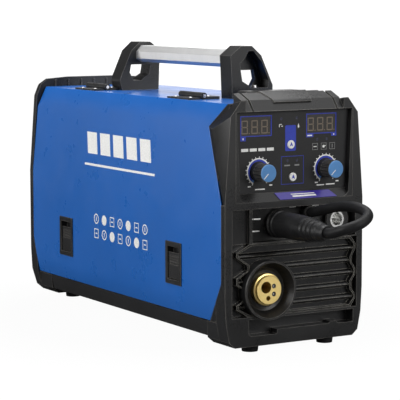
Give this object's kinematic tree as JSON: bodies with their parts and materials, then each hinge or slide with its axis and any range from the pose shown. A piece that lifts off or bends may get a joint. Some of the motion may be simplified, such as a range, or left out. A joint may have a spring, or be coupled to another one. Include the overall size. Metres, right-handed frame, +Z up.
{
  "type": "mig welding machine",
  "caption": "Portable wire-feed welder: sheet-steel case with moulded ends, side door to the wire bay, top handle, control panel, power sockets and torch connector.",
  "frame": {"origin": "centre of the footprint of the machine, on the floor under the rubber feet", "axes": "+Z up, -Y out of the front panel, +X to the right as seen from the front; the door is on the -X side"},
  "size_m": [0.1757, 0.6005, 0.3195],
  "materials": {
    "black_case": "moulded black, fine texture",
    "black_metal": "black powder coat",
    "blue_paint": "glossy blue enamel",
    "rubber": "black rubber",
    "panel_film": "printed film over a plastic plate",
    "black_plastic": "satin black",
    "display": "smoked display window",
    "led": "unlit lamp",
    "knob_blue": "light blue cap",
    "button_white": "white button",
    "badge": "purple plate",
    "brass": "machined brass",
    "tinned": "tinned copper",
    "steel": "plated steel",
    "zinc_plate": "galvanised sheet",
    "aluminium": "anodised aluminium",
    "circuit_board": "solder mask",
    "pot_metal": "pressed case",
    "rocker": "red rocker",
    "transformer": "wound coil and ferrite"
  },
  "bodies": {
    "case": {"base_pan": "black_metal", "rubber_feet": "rubber", "front_bezel": "black_case", "front_grille": "black_case", "torch_collar": "black_case", "torch_connector": "brass", "torch_pins": "steel", "control_panel": "panel_film", "control_board": "circuit_board", "display_left": "display", "display_right": "display", "led_indicators": "led", "potentiometers": "pot_metal", "badge_plate": "badge", "positive_socket": "black_plastic", "positive_contact": "tinned", "negative_socket": "black_plastic", "negative_contact": "tinned", "lead_gland": "black_plastic", "polarity_lead": "rubber", "plug_sleeve": "rubber", "plug_pin": "brass", "case_cover": "blue_paint", "front_hinge_case_leaf": "black_metal", "rear_hinge_case_leaf": "black_metal", "hinge_pins": "steel", "front_handle_bracket": "black_case", "rear_handle_bracket": "black_case", "handle_bar": "aluminium", "handle_screws": "steel", "rear_bezel": "black_case", "power_switch_frame": "black_plastic", "mains_gland": "black_plastic", "gas_inlet": "brass", "fan_frame": "black_plastic", "divider_plate": "zinc_plate", "feed_plate": "aluminium", "feed_motor": "steel", "power_board": "circuit_board", "power_transformer": "transformer", "heatsink": "aluminium"},
    "door": {"side_door": "blue_paint", "front_hinge_door_leaf": "black_metal", "rear_hinge_door_leaf": "black_metal", "front_latch_frame": "black_plastic", "rear_latch_frame": "black_plastic"},
    "front_latch": {"front_latch_slider": "black_plastic"},
    "rear_latch": {"rear_latch_slider": "black_plastic"},
    "voltage_control": {"voltage_knob": "black_plastic", "voltage_knob_cap": "knob_blue"},
    "current_control": {"current_knob": "black_plastic", "current_knob_cap": "knob_blue"},
    "mode_key": {"mode_button": "button_white"},
    "cycle_key": {"cycle_button": "button_white"},
    "power_rocker": {"power_switch_rocker": "rocker"},
    "fan": {"fan_impeller": "black_plastic"},
    "drive_roller": {"drive_roll": "steel"},
    "tension_arm": {"pressure_arm": "black_plastic"},
    "idler": {"pressure_roller": "steel"},
    "spool_holder": {"spool_hub": "black_plastic"}
  },
  "joints": [
    {"name": "door_hinge", "type": "hinge", "parent": "case", "child": "door", "pos_m": [-0.048, -0.0005, 0.266], "axis": [0, 1, 0], "range_deg": [0, 100]},
    {"name": "front_latch_slide", "type": "slide", "parent": "door", "child": "front_latch", "axis": [0, 0, 1], "range_m": [0, 0.006]},
    {"name": "rear_latch_slide", "type": "slide", "parent": "door", "child": "rear_latch", "axis": [0, 0, 1], "range_m": [0, 0.006]},
    {"name": "voltage_knob_turn", "type": "hinge", "parent": "case", "child": "voltage_control", "pos_m": [-0.0425, -0.234, 0.191], "axis": [0, 1, 0], "range_deg": [0, 270]},
    {"name": "current_knob_turn", "type": "hinge", "parent": "case", "child": "current_control", "pos_m": [0.0425, -0.234, 0.191], "axis": [0, 1, 0], "range_deg": [0, 270]},
    {"name": "mode_button_press", "type": "slide", "parent": "case", "child": "mode_key", "axis": [0, 1, 0], "range_m": [0, 0.0008], "stiffness_N_per_m": 300},
    {"name": "cycle_button_press", "type": "slide", "parent": "case", "child": "cycle_key", "axis": [0, 1, 0], "range_m": [0, 0.0008], "stiffness_N_per_m": 300},
    {"name": "power_switch_rock", "type": "hinge", "parent": "case", "child": "power_rocker", "pos_m": [0.036, 0.223, 0.204], "axis": [1, 0, 0], "range_deg": [-12, 0]},
    {"name": "fan_spin", "type": "hinge", "parent": "case", "child": "fan", "pos_m": [0.036, 0.21, 0.122], "axis": [0, 1, 0], "continuous": true},
    {"name": "drive_roll_spin", "type": "hinge", "parent": "case", "child": "drive_roller", "pos_m": [-0.038, -0.109, 0.0536], "axis": [1, 0, 0], "continuous": true},
    {"name": "pressure_arm_lift", "type": "hinge", "parent": "case", "child": "tension_arm", "pos_m": [-0.0235, -0.082, 0.092], "axis": [1, 0, 0], "range_deg": [-35, 0]},
    {"name": "pressure_roller_spin", "type": "hinge", "parent": "tension_arm", "child": "idler", "pos_m": [-0.038, -0.109, 0.0794], "axis": [1, 0, 0], "continuous": true},
    {"name": "spool_spin", "type": "hinge", "parent": "case", "child": "spool_holder", "pos_m": [-0.05, 0.101, 0.138], "axis": [1, 0, 0], "continuous": true}
  ]
}
